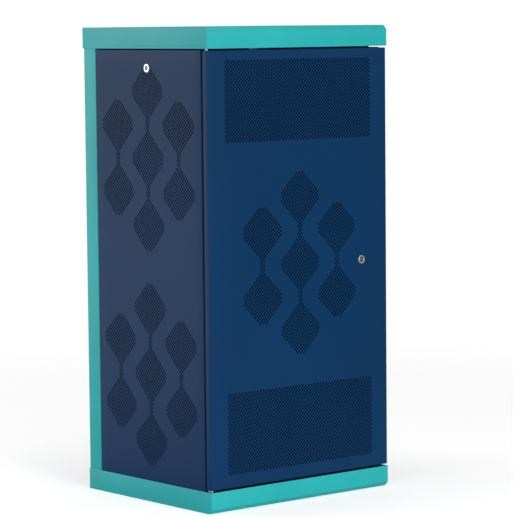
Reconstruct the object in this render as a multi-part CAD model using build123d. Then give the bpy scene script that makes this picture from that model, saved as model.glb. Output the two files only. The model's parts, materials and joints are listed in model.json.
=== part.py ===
from build123d import *
from math import sqrt
import os

# Floor-standing 19 inch cabinet for rack-mounted battery modules. Millimetres, +Z up.
# Origin: centre of the footprint, on the floor. The door faces -Y.

# ---------------------------------------------------------------- driving dimensions
WIDTH = 600                 # outside of the cap
DEPTH = 512                 # outside of the cap
HEIGHT = 1210               # floor to top of the cap
CAP_HEIGHT = 54
PLINTH_HEIGHT = 54
EDGE_CHAMFER = 11           # 45 degree break along the front edge of cap and plinth
PLINTH_INSET = 1            # plinth behind the cap, all round
SIDE_INSET = 2              # door, panels and posts behind the cap's sides
FRONT_INSET = 2             # door behind the cap's front
REAR_INSET = 3.5            # rear posts behind the cap's back

FRAME_SHEET = 2             # cap, plinth, posts and rails
DOOR_SHEET = 1.5
PANEL_SHEET = 1.2
DOOR_THICKNESS = 19
DOOR_FOLD = 2               # outer radius of the door's front folds
DOOR_LIP = 12
DOOR_GAP_LOW = 5
DOOR_GAP_TOP = 4.5
PANEL_THICKNESS = 12
PANEL_FRONT_GAP = 5.5       # between the door's back and the side panel
PANEL_REAR_GAP = 0.5
PANEL_GAP_LOW = 0.5
PANEL_GAP_TOP = 3
SIDE_STRIP = 49             # rear post as seen beside the side panel

PLINTH_FLANGE = 40
DECK_LEDGE = 15
ANCHOR_RADIUS = 6           # M10 floor anchors
ANCHOR_INSET_X = 100        # anchor holes from the cap's sides
ANCHOR_INSET_Y = 24
GUSSET_LEVEL = 24
ENTRY_X = 120               # middle of each cable entry
ENTRY_FROM_BACK = 71
ENTRY_LENGTH = 150
ENTRY_WIDTH = 60
GROMMET_LIP = 3
GROMMET_WALL = 2.5
TAB_OFFSETS = (-120, 120)   # tabs from the middle of the side panel
TAB_LENGTH = 30
TAB_SHEET = 2
EARTH_FROM_SIDE = 100
EARTH_FROM_FRONT = 51
EARTH_RADIUS = 4
EARTH_LENGTH = 18
EARTH_FOOT_RADIUS = 8
EARTH_FOOT_HEIGHT = 5

POST_BACKSET = 50           # front posts behind the cap's front
POST_WIDTH = 28
POST_DEPTH = 76
POST_INSET = 14             # front posts and roof frame behind the side panels' faces
BRACE_HEIGHT = 30
BRACE_THICKNESS = 3
BRACE_SHARES = (0.03, 0.5, 0.97)
ROOF_RAIL = 28
CATCH_WIDTH = 50
CATCH_INSET = 3             # side locks' catch lip behind the roof frame's face
CATCH_RISE = 15             # lip's lower edge above the lock axis
REAR_LEG = 72.5             # rear posts' inner leg

REAR_PANEL_MARGIN = 6       # sheet's edge inside the posts' outer faces
SLOT_FROM_EDGE = 98         # slots' ends inside the posts' outer faces
SLOT_HEIGHT = 6
SLOT_PITCH = 16
SLOT_ROWS = 9
SLOT_END_GAP = 90           # first slot from the deck and last one from the cap
SCREW_INSET = 23            # rear panel's screws inside the posts' outer faces
SCREW_END_GAP = 40
SCREW_ROWS = 5
SCREW_SHANK = 2.5
SCREW_LENGTH = 9
SCREW_HEAD = 4.5
SCREW_HEAD_HEIGHT = 1.8

RACK_UNIT = 44.45
RACK_FLOOR_GAP = 18
RACK_HOLE = 9.5
RACK_HOLE_SPACING = 465.1
RACK_OPENING = 452
RACK_BACKSET = 46           # front face of the front rails behind the posts' front
REAR_RAIL_BACKSET = 82.5    # front face of the rear rails before the posts' rear face
RAIL_LEG = 42
UNIT_HOLES = (6.35, 22.225, 38.1)
RACK_SCREW = 3
RACK_SCREW_HEAD = 5.5
RACK_SCREW_HEAD_HEIGHT = 3.5

MODULE_COUNT = 4
MODULE_UNITS = 4
MODULE_WIDTH = 442
MODULE_DEPTH = 390
MODULE_HEIGHT = 168
MODULE_LIFT = 3             # underside above the foot of its rack unit
CASE_SHEET = 1.5
FACE_WIDTH = 482.6
FACE_THICKNESS = 2
FACE_GAP = 0.5              # face's edge inside its rack units
COVER_WIDTH = 430
COVER_DEPTH = 16
COVER_MARGIN = 5
COVER_ROUNDING = 4
CELLS_PER_MODULE = 8
CELL_GAP = 1
CELL_END_GAP = 30           # cells inside the case's front, back and top
RUNNER_SHELF = 24
RUNNER_HEIGHT = 40
RUNNER_GAP = 1              # between a runner and the case beside it
RUNNER_EAR_LIFT = 8         # keeps the runners' ears clear of the lowest face screws
RUNNER_EAR_GAP = 6          # between an ear's end and the post

CONTROL_UNITS = 3
CONTROL_FIRST_UNIT = 20
CONTROL_DEPTH = 260
CONTROL_SPARE = 10          # units' height that the case leaves free
CONTROL_SOCKET = 40         # socket above the case's underside

SOCKET_INSET = 45           # sockets inside the module's underside and top
TERMINAL_RADIUS = 10
TERMINAL_LENGTH = 14
TERMINAL_COLLAR = 3
POSITIVE_X = -160
NEGATIVE_X = -130
CABLE_RADIUS = 5
CABLE_REACH = 22
CABLE_BEND = 18

HANDLE_X = 200
HANDLE_SPAN = 100
HANDLE_REACH = 35
HANDLE_RADIUS = 5

ROCKER_X = 150
ROCKER_RADIUS = 11
ROCKER_WIDTH = 18
ROCKER_AXIS_DEPTH = 2       # pivot behind the cover's front
ROCKER_PROUD = 5            # front flat before the pivot
ROCKER_SLANT = 8            # degrees each side of straight

BREAKER_X = 150
BREAKER_WIDTH = 54
BREAKER_HEIGHT = 80
BREAKER_PROUD = 22
BREAKER_STEP = 6            # broad part of the body before the cover
BREAKER_NOSE = 44
TOGGLE_DEPTH = 10           # pivot behind the breaker's nose
TOGGLE_SLOT = 28
TOGGLE_RADIUS = 9
TOGGLE_WIDTH = 30
TOGGLE_LENGTH = 24
TOGGLE_THICKNESS = 6
TOGGLE_ANGLE = 30           # degrees each side of straight

HINGE_INSET_X = 10          # hinge axis from the cap's left side
HINGE_INSET_Y = 13          # hinge axis from the cap's front
CAP_FLANGE = 15             # cap's front flange behind the hinge axis
PIN_RADIUS = 4
PIN_COLLAR = 7
PIN_INSERTION = 14          # lower pin inside the door
LATCH_LEVER = 13            # finger lever, from the pin's axis
LATCH_DROP = 45             # foot of the upper pin below the door's top
LATCH_BAR = 4
HINGE_BLOCK = 18
HINGE_BLOCK_WIDTH = 14
STIFFENER_INSET = 48        # channels inside the door's edges
STIFFENER_WIDTH = 25
STIFFENER_DEPTH = 12
STIFFENER_END_GAP = 30

BEZEL_RADIUS = 11
BEZEL_PROUD = 2
BARREL_RADIUS = 9
BARREL_SHORTER = 2          # barrel ends this far before the cam
NUT_RADIUS = 13
NUT_THICKNESS = 5
PLUG_RADIUS = 6
PLUG_SUNK = 0.4             # plug's face behind the bezel's
KEY_RECESS = 4.4
KEY_PIN = 1.8
KEY_DEPTH = 7
CAM_THICKNESS = 3
CAM_WIDTH = 16
CAM_GAP = 2                 # between a cam and its catch
DOOR_LOCK_FROM_EDGE = 90    # lock axis from the cap's right side
DOOR_CAM_REACH = 46
DOOR_CATCH_GAP = 1          # between the door's back and the catch
DOOR_CATCH_HEIGHT = 40
DOOR_CATCH_LIP = 16         # cam's tip past the lip's edge
DOOR_CATCH_FOOT = 20
SIDE_LOCK_DROP = 46         # lock axis below the panel's top
SIDE_CAM_REACH = 26

FOOT_INSET_X = 65           # foot axes from the cap's sides
FOOT_INSET_Y = 66
FOOT_RADIUS = 18
FOOT_PAD = 8
FOOT_SHANK = 6
FOOT_LIFT = 1               # pad above the floor when wound in
FOOT_TOP_GAP = 6            # shank's end below the deck

# ---------------------------------------------------------------- clearances
RUNNING = 0.05              # radial, a shaft in its own hole
SLIP = 0.2                  # flat faces that move past each other
PASS = 1.5                  # loose hole round a part that only passes through

# ---------------------------------------------------------------- planes and levels
HALF = WIDTH / 2
FRONT = -DEPTH / 2
BACK = DEPTH / 2
CAP_BOTTOM = HEIGHT - CAP_HEIGHT
DECK_TOP = PLINTH_HEIGHT
DECK_BOTTOM = DECK_TOP - FRAME_SHEET
BODY_HALF = HALF - SIDE_INSET
DOOR_FRONT = FRONT + FRONT_INSET
DOOR_BACK = DOOR_FRONT + DOOR_THICKNESS
DOOR_LOW = DECK_TOP + DOOR_GAP_LOW
DOOR_TOP = CAP_BOTTOM - DOOR_GAP_TOP
REAR_FACE = BACK - REAR_INSET
STRIP_FRONT = REAR_FACE - SIDE_STRIP
PANEL_FRONT = DOOR_BACK + PANEL_FRONT_GAP
PANEL_REAR = STRIP_FRONT - PANEL_REAR_GAP
PANEL_LOW = DECK_TOP + PANEL_GAP_LOW
PANEL_TOP = CAP_BOTTOM - PANEL_GAP_TOP
POST_FRONT = FRONT + POST_BACKSET
POST_OUTER = BODY_HALF - POST_INSET
POST_INNER = POST_OUTER - POST_WIDTH
CATCH_LIP = POST_OUTER - CATCH_INSET
FOOT_X = HALF - FOOT_INSET_X
FOOT_Y = BACK - FOOT_INSET_Y
ENTRY_Y = BACK - ENTRY_FROM_BACK
EARTH_X = HALF - EARTH_FROM_SIDE
EARTH_Y = FRONT + EARTH_FROM_FRONT
SCREW_X = BODY_HALF - SCREW_INSET
RACK_PLANE = POST_FRONT + RACK_BACKSET
REAR_RAIL_PLANE = REAR_FACE - REAR_RAIL_BACKSET
RACK_LOW = DECK_TOP + RACK_FLOOR_GAP
RACK_UNITS = int((CAP_BOTTOM - RACK_LOW) / RACK_UNIT)
HINGE_X = -HALF + HINGE_INSET_X
HINGE_Y = FRONT + HINGE_INSET_Y
DOOR_LOCK_X = HALF - DOOR_LOCK_FROM_EDGE
DOOR_LOCK_Z = HEIGHT / 2
DOOR_PLUG_LENGTH = DOOR_THICKNESS + DOOR_CATCH_GAP + FRAME_SHEET + CAM_GAP
SIDE_LOCK_Y = (PANEL_FRONT + PANEL_REAR) / 2
SIDE_LOCK_Z = PANEL_TOP - SIDE_LOCK_DROP
SIDE_PLUG_LENGTH = BODY_HALF - CATCH_LIP + FRAME_SHEET + CAM_GAP
STIFFENER_X = BODY_HALF - STIFFENER_INSET
CONTROL_HEIGHT = CONTROL_UNITS * RACK_UNIT - CONTROL_SPARE
FACE_FRONT = RACK_PLANE - FACE_THICKNESS
COVER_FRONT = FACE_FRONT - COVER_DEPTH


# ---------------------------------------------------------------- helpers
def block(x0, x1, y0, y1, z0, z1):
    """Box between two corners."""
    size = Box(x1 - x0, y1 - y0, z1 - z0)
    return Pos((x0 + x1) / 2, (y0 + y1) / 2, (z0 + z1) / 2) * size


def rod_z(x, y, z0, z1, radius):
    """Upright cylinder."""
    return Pos(x, y, (z0 + z1) / 2) * Cylinder(radius, z1 - z0)


def rod_y(x, z, y0, y1, radius):
    """Cylinder along Y."""
    return Pos(x, (y0 + y1) / 2, z) * Rot(90, 0, 0) * Cylinder(radius, y1 - y0)


def rod_x(y, z, x0, x1, radius):
    """Cylinder along X."""
    return Pos((x0 + x1) / 2, y, z) * Rot(0, 90, 0) * Cylinder(radius, x1 - x0)


def prism_x(outline, width):
    """Outline in the YZ plane, extruded both ways along X."""
    return extrude(Plane.YZ * Polygon(*outline, align=None), amount=width / 2, both=True)


def mirrored(shape):
    """The same piece for the other side of the cabinet."""
    return mirror(shape, about=Plane.YZ)


def group(shapes):
    """Several separate solids in one node."""
    solids = [solid for shape in shapes for solid in shape.solids()]
    return Compound(solids)


# ---------------------------------------------------------------- plinth, deck and cap
def chamfered_pan(front, back, low, high, width, sheet, chamfer_at_top):
    """Folded tray with a broken front edge, open on the side away from the break."""
    inner_chamfer = EDGE_CHAMFER - sheet * (2 - sqrt(2))
    if chamfer_at_top:
        outer = [(front, low), (front, high - EDGE_CHAMFER), (front + EDGE_CHAMFER, high),
                 (back, high), (back, low)]
        top = high - sheet
        inner = [(front + sheet, low), (front + sheet, top - inner_chamfer),
                 (front + sheet + inner_chamfer, top), (back - sheet, top), (back - sheet, low)]
    else:
        outer = [(front, high), (front, low + EDGE_CHAMFER), (front + EDGE_CHAMFER, low),
                 (back, low), (back, high)]
        floor = low + sheet
        inner = [(front + sheet, high), (front + sheet, floor + inner_chamfer),
                 (front + sheet + inner_chamfer, floor), (back - sheet, floor), (back - sheet, high)]
    return prism_x(outer, width) - prism_x(inner, width - 2 * sheet)


def base_plinth():
    """Folded plinth: walls, floor flange with anchor holes, deck ledge, corner gussets."""
    side = HALF - PLINTH_INSET
    front = FRONT + PLINTH_INSET
    back = BACK - PLINTH_INSET
    shape = chamfered_pan(front, back, 0, PLINTH_HEIGHT, 2 * side, FRAME_SHEET, False)
    open_x = side - PLINTH_FLANGE
    open_y = back - PLINTH_FLANGE
    shape -= block(-open_x, open_x, -open_y, open_y, -1, FRAME_SHEET + 1)
    wall_x = side - FRAME_SHEET
    wall_y = back - FRAME_SHEET
    ledge = block(-wall_x, wall_x, -wall_y, wall_y, DECK_BOTTOM - FRAME_SHEET, DECK_BOTTOM)
    ledge -= block(-wall_x + DECK_LEDGE, wall_x - DECK_LEDGE, -wall_y + DECK_LEDGE,
                   wall_y - DECK_LEDGE, 0, PLINTH_HEIGHT)
    shape += ledge
    for sx in (-1, 1):
        for sy in (-1, 1):
            x0, x1 = sorted((sx * wall_x, sx * (FOOT_X - FOOT_RADIUS)))
            y0, y1 = sorted((sy * wall_y, sy * (FOOT_Y - FOOT_RADIUS)))
            shape += block(x0, x1, y0, y1, GUSSET_LEVEL - 2 * FRAME_SHEET, GUSSET_LEVEL)
            shape -= rod_z(sx * FOOT_X, sy * FOOT_Y, 0, PLINTH_HEIGHT, FOOT_SHANK + RUNNING)
            shape -= rod_z(sx * (HALF - ANCHOR_INSET_X), sy * (BACK - ANCHOR_INSET_Y), -1,
                           FRAME_SHEET + 1, ANCHOR_RADIUS)
    return shape


def base_deck():
    """Floor plate of the cabinet: two cable entries and slots for the panels' tabs."""
    x = HALF - PLINTH_INSET - FRAME_SHEET
    y = BACK - PLINTH_INSET - FRAME_SHEET
    shape = block(-x, x, -y, y, DECK_BOTTOM, DECK_TOP)
    for side in (-1, 1):
        entry_x = side * ENTRY_X
        shape -= block(entry_x - ENTRY_LENGTH / 2, entry_x + ENTRY_LENGTH / 2,
                       ENTRY_Y - ENTRY_WIDTH / 2, ENTRY_Y + ENTRY_WIDTH / 2, 0, HEIGHT)
    for y in TAB_OFFSETS:
        slot = tab(y, PASS)
        shape -= slot
        shape -= mirrored(slot)
    return shape


def tab(y, margin):
    """Tab at the foot of the left panel, or with a margin its slot in the deck."""
    x = -BODY_HALF + PANEL_THICKNESS / 2
    low = DECK_BOTTOM - 1 if margin else DECK_BOTTOM + SLIP
    centre = SIDE_LOCK_Y + y
    return block(x - TAB_SHEET / 2 - margin, x + TAB_SHEET / 2 + margin,
                 centre - TAB_LENGTH / 2 - margin, centre + TAB_LENGTH / 2 + margin,
                 low, PANEL_LOW + PANEL_SHEET)


def deck_grommets():
    """Rubber edging clipped round the two cable entries."""
    lip = GROMMET_LIP
    wall = GROMMET_WALL
    over = FRAME_SHEET
    rings = []
    for side in (-1, 1):
        x0 = side * ENTRY_X - ENTRY_LENGTH / 2
        x1 = side * ENTRY_X + ENTRY_LENGTH / 2
        y0 = ENTRY_Y - ENTRY_WIDTH / 2
        y1 = ENTRY_Y + ENTRY_WIDTH / 2
        ring = block(x0 - lip, x1 + lip, y0 - lip, y1 + lip, DECK_BOTTOM - over,
                     DECK_TOP + over)
        plate = block(x0 - 2 * lip, x1 + 2 * lip, y0 - 2 * lip, y1 + 2 * lip, DECK_BOTTOM, DECK_TOP)
        plate -= block(x0, x1, y0, y1, 0, HEIGHT)
        ring -= plate
        ring -= block(x0 + wall, x1 - wall, y0 + wall, y1 - wall, 0, HEIGHT)
        rings.append(ring)
    return group(rings)


def top_cap():
    """Folded cap with a front flange that holds the door's upper hinge pin."""
    shape = chamfered_pan(FRONT, BACK, CAP_BOTTOM, HEIGHT, WIDTH, FRAME_SHEET, True)
    flange_back = HINGE_Y + CAP_FLANGE
    x = HALF - FRAME_SHEET
    shape += block(-x, x, FRONT + FRAME_SHEET, flange_back, CAP_BOTTOM, CAP_BOTTOM + FRAME_SHEET)
    shape -= rod_z(HINGE_X, HINGE_Y, CAP_BOTTOM - 1, CAP_BOTTOM + FRAME_SHEET + 1,
                   PIN_RADIUS + RUNNING)
    return shape


# ---------------------------------------------------------------- frame
def roof_frame():
    """Channel ring on top of the posts, under the cap, with a catch lip each side."""
    top = HEIGHT - FRAME_SHEET
    ring = block(-POST_OUTER, POST_OUTER, POST_FRONT, REAR_FACE, CAP_BOTTOM, top)
    ring -= block(-POST_OUTER + ROOF_RAIL, POST_OUTER - ROOF_RAIL, POST_FRONT + ROOF_RAIL,
                  REAR_FACE - ROOF_RAIL, 0, HEIGHT)
    trough = block(-POST_OUTER + FRAME_SHEET, POST_OUTER - FRAME_SHEET, POST_FRONT + FRAME_SHEET,
                   REAR_FACE - FRAME_SHEET, CAP_BOTTOM + FRAME_SHEET, HEIGHT)
    inner = ROOF_RAIL - FRAME_SHEET
    trough -= block(-POST_OUTER + inner, POST_OUTER - inner, POST_FRONT + inner,
                    REAR_FACE - inner, 0, HEIGHT)
    ring -= trough
    lip = block(CATCH_LIP - FRAME_SHEET, CATCH_LIP, SIDE_LOCK_Y - CATCH_WIDTH / 2,
                SIDE_LOCK_Y + CATCH_WIDTH / 2, SIDE_LOCK_Z + CATCH_RISE,
                CAP_BOTTOM + FRAME_SHEET / 2)
    return ring + lip + mirrored(lip)


def front_post():
    """Right front post: a channel, open towards the back."""
    shape = block(POST_INNER, POST_OUTER, POST_FRONT, POST_FRONT + POST_DEPTH, DECK_TOP, CAP_BOTTOM)
    shape -= block(POST_INNER + FRAME_SHEET, POST_OUTER - FRAME_SHEET, POST_FRONT + FRAME_SHEET,
                   BACK, 0, HEIGHT)
    return shape


def screw_levels():
    """Heights of the rear panel's screws."""
    low = DECK_TOP + SCREW_END_GAP
    high = CAP_BOTTOM - SCREW_END_GAP
    return [low + (high - low) * row / (SCREW_ROWS - 1) for row in range(SCREW_ROWS)]


def rear_post():
    """Right rear post: side face, back face, inner leg for the rails, front return."""
    inner_leg_front = REAR_FACE - REAR_LEG
    shape = block(BODY_HALF - FRAME_SHEET, BODY_HALF, STRIP_FRONT, REAR_FACE, DECK_TOP, CAP_BOTTOM)
    shape += block(POST_INNER, BODY_HALF, REAR_FACE - FRAME_SHEET, REAR_FACE, DECK_TOP, CAP_BOTTOM)
    shape += block(POST_INNER, POST_INNER + FRAME_SHEET, inner_leg_front, REAR_FACE,
                   DECK_TOP, CAP_BOTTOM)
    shape += block(POST_OUTER, BODY_HALF, STRIP_FRONT, STRIP_FRONT + FRAME_SHEET,
                   DECK_TOP, CAP_BOTTOM)
    for z in screw_levels():
        shape -= rod_y(SCREW_X, z, REAR_FACE - 5, REAR_FACE + 1, SCREW_SHANK + SLIP)
    return shape


def side_braces():
    """Flat bars that tie each front post to its rear post."""
    x0 = POST_INNER + FRAME_SHEET
    x1 = x0 + BRACE_THICKNESS
    span = (POST_FRONT + FRAME_SHEET, REAR_FACE - FRAME_SHEET)
    room = CAP_BOTTOM - DECK_TOP - BRACE_HEIGHT
    bars = []
    for share in BRACE_SHARES:
        z = DECK_TOP + room * share
        bar = block(x0, x1, span[0], span[1], z, z + BRACE_HEIGHT)
        bars += [bar, mirrored(bar)]
    return group(bars)


def rack_rail(plane, leg_back):
    """Right rail: square-holed face and a leg fixed to the post."""
    face_inner = RACK_OPENING / 2
    high = RACK_LOW + RACK_UNITS * RACK_UNIT
    y0, y1 = plane, plane + FRAME_SHEET
    shape = block(face_inner, POST_INNER, y0, y1, RACK_LOW, high)
    shape += block(POST_INNER - FRAME_SHEET, POST_INNER, plane, leg_back, RACK_LOW, high)
    half = RACK_HOLE / 2
    x = RACK_HOLE_SPACING / 2
    holes = []
    for unit in range(RACK_UNITS):
        for offset in UNIT_HOLES:
            z = RACK_LOW + unit * RACK_UNIT + offset
            holes.append(block(x - half, x + half, y0 - 1, y1 + 1, z - half, z + half))
    return shape - holes


def rack_rails(plane):
    """A pair of rails."""
    rail = rack_rail(plane, plane + RAIL_LEG)
    return group([rail, mirrored(rail)])


def module_level(index):
    """Underside of a battery module."""
    return RACK_LOW + index * MODULE_UNITS * RACK_UNIT + MODULE_LIFT


def control_level():
    """Underside of the control unit."""
    return RACK_LOW + CONTROL_FIRST_UNIT * RACK_UNIT + MODULE_LIFT


def runner_levels():
    """One pair of runners for each module, one for the spare bay, one for the control unit."""
    return [module_level(index) for index in range(MODULE_COUNT + 1)] + [control_level()]


def module_runners():
    """L-shaped runners between the front and the rear rails."""
    x0 = MODULE_WIDTH / 2 + RUNNER_GAP
    x1 = x0 + FRAME_SHEET
    y0 = RACK_PLANE + FRAME_SHEET
    y1 = REAR_RAIL_PLANE
    runners = []
    for z in runner_levels():
        runner = block(x0, x1, y0, y1, z - FRAME_SHEET, z + RUNNER_HEIGHT)
        runner += block(x1 - RUNNER_SHELF, x1, y0, y1, z - FRAME_SHEET, z)
        for y in (y0, y1 - FRAME_SHEET):
            runner += block(x1, POST_INNER - RUNNER_EAR_GAP, y, y + FRAME_SHEET,
                            z + RUNNER_EAR_LIFT, z + RUNNER_HEIGHT)
        runners += [runner, mirrored(runner)]
    return group(runners)


def rear_panel():
    """Screwed back sheet with two fields of slots."""
    x = BODY_HALF - REAR_PANEL_MARGIN
    shape = block(-x, x, REAR_FACE, REAR_FACE + PANEL_SHEET, DECK_TOP + REAR_PANEL_MARGIN,
                  CAP_BOTTOM - REAR_PANEL_MARGIN)
    slot_end = BODY_HALF - SLOT_FROM_EDGE
    field_height = (SLOT_ROWS - 1) * SLOT_PITCH
    cuts = []
    for low in (DECK_TOP + SLOT_END_GAP, CAP_BOTTOM - SLOT_END_GAP - field_height):
        for row in range(SLOT_ROWS):
            z = low + row * SLOT_PITCH
            cuts.append(block(-slot_end, slot_end, REAR_FACE - 1, BACK, z - SLOT_HEIGHT / 2,
                              z + SLOT_HEIGHT / 2))
    for z in screw_levels():
        for side in (-1, 1):
            cuts.append(rod_y(side * SCREW_X, z, REAR_FACE - 1, BACK, SCREW_SHANK + SLIP))
    return shape - cuts


def rear_panel_screws():
    """Pan-head screws that hold the back sheet to the rear posts."""
    outer = REAR_FACE + PANEL_SHEET
    screws = []
    for z in screw_levels():
        for side in (-1, 1):
            x = side * SCREW_X
            head = rod_y(x, z, outer, outer + SCREW_HEAD_HEIGHT, SCREW_HEAD)
            head = chamfer(head.faces().sort_by(Axis.Y)[-1].edges(), 0.6)
            head -= rod_y(x, z, outer + 0.7, BACK + 1, 1.5)
            screws.append(head + rod_y(x, z, outer - SCREW_LENGTH, outer, SCREW_SHANK))
    return group(screws)


def earth_stud():
    """M8 earthing stud on a hexagonal foot, welded to the deck."""
    hexagon = Pos(EARTH_X, EARTH_Y, DECK_TOP) * RegularPolygon(EARTH_FOOT_RADIUS, 6)
    foot_top = DECK_TOP + EARTH_FOOT_HEIGHT
    stud = rod_z(EARTH_X, EARTH_Y, foot_top, foot_top + EARTH_LENGTH, EARTH_RADIUS)
    return extrude(hexagon, amount=EARTH_FOOT_HEIGHT) + stud


# ---------------------------------------------------------------- battery modules
def battery_case(index):
    """Closed sheet-metal case behind the rack plane."""
    z = module_level(index)
    x = MODULE_WIDTH / 2
    back = RACK_PLANE + MODULE_DEPTH
    shape = block(-x, x, RACK_PLANE, back, z, z + MODULE_HEIGHT)
    wall = CASE_SHEET
    return shape - block(-x + wall, x - wall, RACK_PLANE + wall, back - wall, z + wall,
                         z + MODULE_HEIGHT - wall)


def battery_cells():
    """Rows of prismatic cells inside every case."""
    length = (MODULE_WIDTH - 2 * CASE_SHEET) / CELLS_PER_MODULE
    cells = []
    for index in range(MODULE_COUNT):
        z = module_level(index) + CASE_SHEET
        for cell in range(CELLS_PER_MODULE):
            x0 = -MODULE_WIDTH / 2 + CASE_SHEET + cell * length
            cells.append(block(x0 + CELL_GAP / 2, x0 + length - CELL_GAP / 2,
                               RACK_PLANE + CELL_END_GAP, RACK_PLANE + MODULE_DEPTH - CELL_END_GAP,
                               z, z + MODULE_HEIGHT - CELL_END_GAP))
    return group(cells)


def face_plate(low, units):
    """Rack face with its screw holes."""
    half = FACE_WIDTH / 2
    shape = block(-half, half, FACE_FRONT, RACK_PLANE, low + FACE_GAP,
                  low + units * RACK_UNIT - FACE_GAP)
    for x, z in face_screws(low, units):
        shape -= rod_y(x, z, FACE_FRONT - 1, RACK_PLANE + 1, RACK_SCREW + SLIP)
    return shape


def face_screws(low, units):
    """The four screw places of a rack face."""
    high = low + (units - 1) * RACK_UNIT + UNIT_HOLES[2]
    x = RACK_HOLE_SPACING / 2
    return [(side * x, z) for side in (-1, 1) for z in (low + UNIT_HOLES[0], high)]


def battery_front(index):
    """Moulded front: rack face, raised cover, pocket for the rocker switch."""
    low = RACK_LOW + index * MODULE_UNITS * RACK_UNIT
    z = module_level(index)
    half = COVER_WIDTH / 2
    cover = block(-half, half, COVER_FRONT, FACE_FRONT, z + COVER_MARGIN,
                  z + MODULE_HEIGHT - COVER_MARGIN)
    cover = fillet(cover.edges().group_by(Axis.Y)[0], COVER_ROUNDING)
    shape = face_plate(low, MODULE_UNITS) + cover
    middle = z + MODULE_HEIGHT / 2
    pocket_x = ROCKER_WIDTH / 2 + SLIP
    pocket_z = ROCKER_RADIUS + SLIP
    return shape - block(ROCKER_X - pocket_x, ROCKER_X + pocket_x, COVER_FRONT - 1,
                         COVER_FRONT + ROCKER_AXIS_DEPTH + ROCKER_RADIUS + 1, middle - pocket_z,
                         middle + pocket_z)


def battery_switch(index):
    """Rocker: a round back that turns in the pocket and a slanted flat front."""
    y = COVER_FRONT + ROCKER_AXIS_DEPTH
    z = module_level(index) + MODULE_HEIGHT / 2
    rocker = Rot(0, 90, 0) * Cylinder(ROCKER_RADIUS, ROCKER_WIDTH)
    cut = Rot(-ROCKER_SLANT, 0, 0) * Pos(0, -ROCKER_PROUD - ROCKER_RADIUS, 0) * Box(
        2 * ROCKER_WIDTH, 2 * ROCKER_RADIUS, 4 * ROCKER_RADIUS)
    return Pos(ROCKER_X, y, z) * (rocker - cut)


def handle(x, z):
    """Round-bar handle standing on a front cover."""
    out = COVER_FRONT - HANDLE_REACH + HANDLE_RADIUS
    low = z - HANDLE_SPAN / 2
    high = z + HANDLE_SPAN / 2
    path = FilletPolyline((x, COVER_FRONT, low), (x, out, low), (x, out, high),
                          (x, COVER_FRONT, high), radius=2.5 * HANDLE_RADIUS)
    start = Plane(origin=(x, COVER_FRONT, low), z_dir=(0, -1, 0))
    return sweep(start * Circle(HANDLE_RADIUS), path=path)


def battery_handles():
    """Two handles on every module."""
    handles = []
    for index in range(MODULE_COUNT):
        z = module_level(index) + MODULE_HEIGHT / 2
        handles += [handle(-HANDLE_X, z), handle(HANDLE_X, z)]
    return group(handles)


def socket_levels():
    """Lower and upper socket of each module, then the control unit's socket."""
    levels = []
    for index in range(MODULE_COUNT):
        z = module_level(index)
        levels += [z + SOCKET_INSET, z + MODULE_HEIGHT - SOCKET_INSET]
    return levels + [control_level() + CONTROL_SOCKET]


def terminals(x):
    """Round sockets with a collar, two on each module and one on the control unit."""
    shapes = []
    for z in socket_levels():
        body = rod_y(x, z, COVER_FRONT - TERMINAL_LENGTH, COVER_FRONT, TERMINAL_RADIUS)
        collar = rod_y(x, z, COVER_FRONT - TERMINAL_COLLAR, COVER_FRONT,
                       TERMINAL_RADIUS + TERMINAL_COLLAR)
        shapes.append(body + collar)
    return group(shapes)


def link_cable(x, low, high):
    """Cable from one socket up to the next."""
    start = COVER_FRONT - TERMINAL_LENGTH
    out = start - CABLE_REACH
    path = FilletPolyline((x, start, low), (x, out, low), (x, out, high), (x, start, high),
                          radius=CABLE_BEND)
    plane = Plane(origin=(x, start, low), z_dir=(0, -1, 0))
    return sweep(plane * Circle(CABLE_RADIUS), path=path)


def link_cables(x):
    """Upper socket of each module to the lower socket of what stands above it."""
    levels = socket_levels()
    return group([link_cable(x, levels[step], levels[step + 1])
                  for step in range(1, 2 * MODULE_COUNT, 2)])


def rack_screws():
    """Screws of the module faces and of the control unit's face."""
    places = []
    for index in range(MODULE_COUNT):
        places += face_screws(RACK_LOW + index * MODULE_UNITS * RACK_UNIT, MODULE_UNITS)
    places += face_screws(RACK_LOW + CONTROL_FIRST_UNIT * RACK_UNIT, CONTROL_UNITS)
    screws = []
    for x, z in places:
        head_front = FACE_FRONT - RACK_SCREW_HEAD_HEIGHT
        head = rod_y(x, z, head_front, FACE_FRONT, RACK_SCREW_HEAD)
        head = chamfer(head.faces().sort_by(Axis.Y)[0].edges(), 1)
        head -= rod_y(x, z, head_front - 1, head_front + 2, 2)
        screws.append(head + rod_y(x, z, FACE_FRONT, RACK_PLANE + 12, RACK_SCREW))
    return group(screws)


# ---------------------------------------------------------------- control unit
def control_case():
    """Sheet-metal case of the control unit."""
    z = control_level()
    x = MODULE_WIDTH / 2
    back = RACK_PLANE + CONTROL_DEPTH
    wall = CASE_SHEET
    shape = block(-x, x, RACK_PLANE, back, z, z + CONTROL_HEIGHT)
    return shape - block(-x + wall, x - wall, RACK_PLANE + wall, back - wall, z + wall,
                         z + CONTROL_HEIGHT - wall)


def control_front():
    """Rack face and raised cover with the breaker's cut-out."""
    low = RACK_LOW + CONTROL_FIRST_UNIT * RACK_UNIT
    z = control_level()
    half = COVER_WIDTH / 2
    margin = COVER_MARGIN - 1
    cover = block(-half, half, COVER_FRONT, FACE_FRONT, z + margin, z + CONTROL_HEIGHT - margin)
    cover = fillet(cover.edges().group_by(Axis.Y)[0], COVER_ROUNDING)
    x0, x1, z0, z1 = breaker_outline()
    shape = face_plate(low, CONTROL_UNITS) + cover
    return shape - block(x0, x1, COVER_FRONT - 1, FACE_FRONT, z0, z1)


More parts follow.
